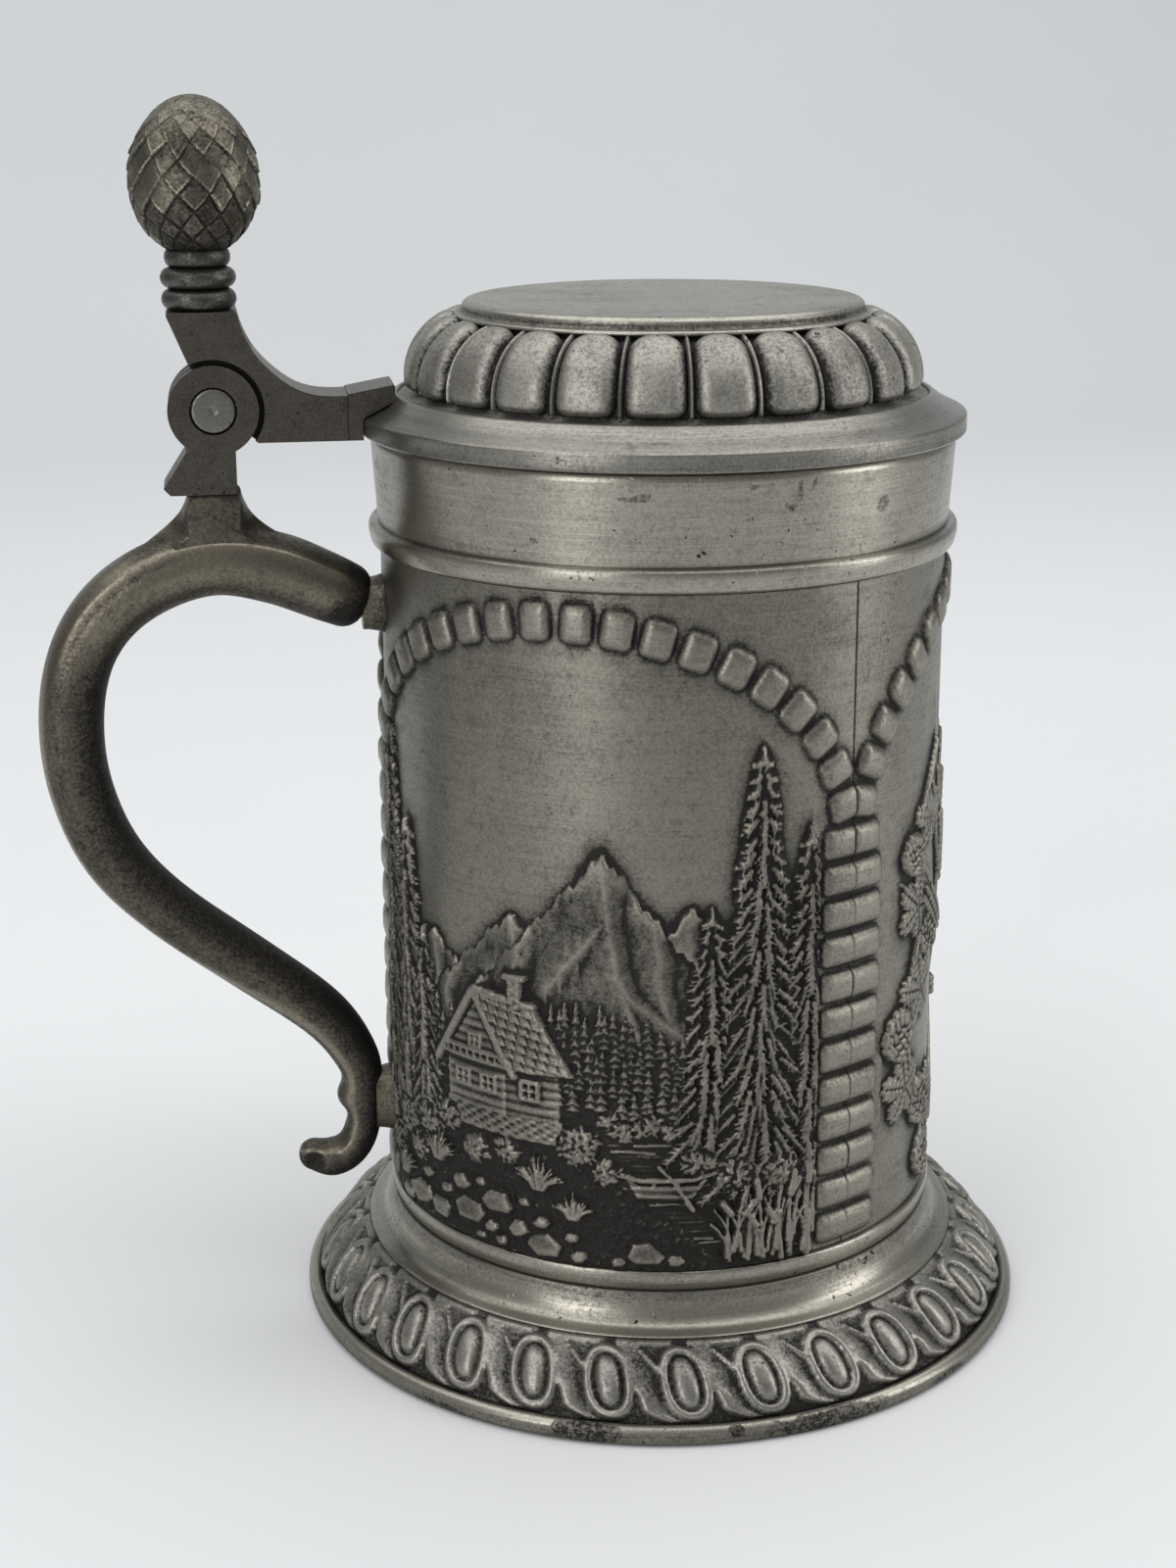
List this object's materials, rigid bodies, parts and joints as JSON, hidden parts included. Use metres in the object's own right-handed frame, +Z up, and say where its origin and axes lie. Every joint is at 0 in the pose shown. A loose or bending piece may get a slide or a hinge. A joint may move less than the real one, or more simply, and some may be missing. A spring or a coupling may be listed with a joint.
{
  "type": "beer stein",
  "caption": "Pewter beer stein with a relief drum under stone arches, a flared ornamented foot, a scroll handle and a hinged gadrooned lid with a pine cone thumblift.",
  "frame": {"origin": "on the table under the middle of the whole object's box; the drum's axis is 19.25 mm from it along +X", "axes": "+Z up along the drum, -X towards the handle, Y along the lid's hinge pin"},
  "size_m": [0.1576, 0.1192, 0.1943],
  "materials": {
    "wall_pewter": "cast pewter relief, rubbed bright on the high places and dark in the recesses",
    "turned_pewter": "turned pewter with fine marks around the axis",
    "foot_pewter": "cast pewter with dark recesses and dull spots",
    "handle_pewter": "cast pewter, darker and browner than the drum",
    "hinge_pewter": "filed and polished pewter",
    "lid_pewter": "cast pewter, bright on the lobes and dark in the grooves",
    "cone_pewter": "cast pewter, bright on the scale edges"
  },
  "bodies": {
    "mug": {"wall_panel_left": "wall_pewter", "wall_panel_front": "wall_pewter", "wall_panel_right": "wall_pewter", "lip_band": "turned_pewter", "neck_bead": "turned_pewter", "base_bead": "turned_pewter", "foot": "foot_pewter", "bottom_disc": "turned_pewter", "handle": "handle_pewter", "handle_upper_lug": "handle_pewter", "handle_lower_lug": "handle_pewter", "hinge_block": "hinge_pewter", "hinge_pin": "hinge_pewter"},
    "lid": {"lid_shell": "lid_pewter", "lid_plate": "turned_pewter", "lid_arm": "hinge_pewter", "thumblift_collar": "cone_pewter", "thumblift_cone": "cone_pewter"}
  },
  "joints": [
    {"name": "lid_hinge", "type": "hinge", "parent": "mug", "child": "lid", "pos_m": [-0.04975, 0, 0.1485], "axis": [0, -1, 0], "range_deg": [0, 117]}
  ]
}
